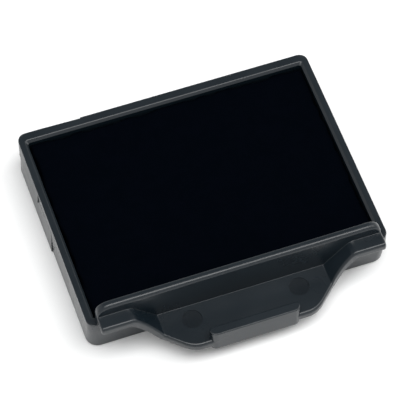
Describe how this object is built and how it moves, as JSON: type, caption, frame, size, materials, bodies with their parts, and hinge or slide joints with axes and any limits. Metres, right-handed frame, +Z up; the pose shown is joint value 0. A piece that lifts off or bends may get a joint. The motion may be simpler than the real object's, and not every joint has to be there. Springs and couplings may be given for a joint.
{
  "type": "stamp ink pad cassette",
  "caption": "Swap-in black ink pad cassette: moulded tray with a raised front shoulder and pull tongue, cloth-covered felt pad.",
  "frame": {"origin": "on the flat underside, at the middle of the tray's rectangular body (the pull tongue is not counted)", "axes": "+Z up out of the inked face, -Y towards the pull tongue, X along the pad's long side"},
  "size_m": [0.0742, 0.0672, 0.0174],
  "materials": {
    "tray_plastic": "satin moulded, cool black",
    "adhesive": "dull film",
    "inked_felt": "needled felt soaked in ink",
    "inked_cloth": "fine woven cloth soaked in ink"
  },
  "bodies": {
    "root": {"cassette_tray": "tray_plastic", "adhesive_film": "adhesive", "felt_core": "inked_felt", "cover_cloth": "inked_cloth"}
  },
  "joints": []
}
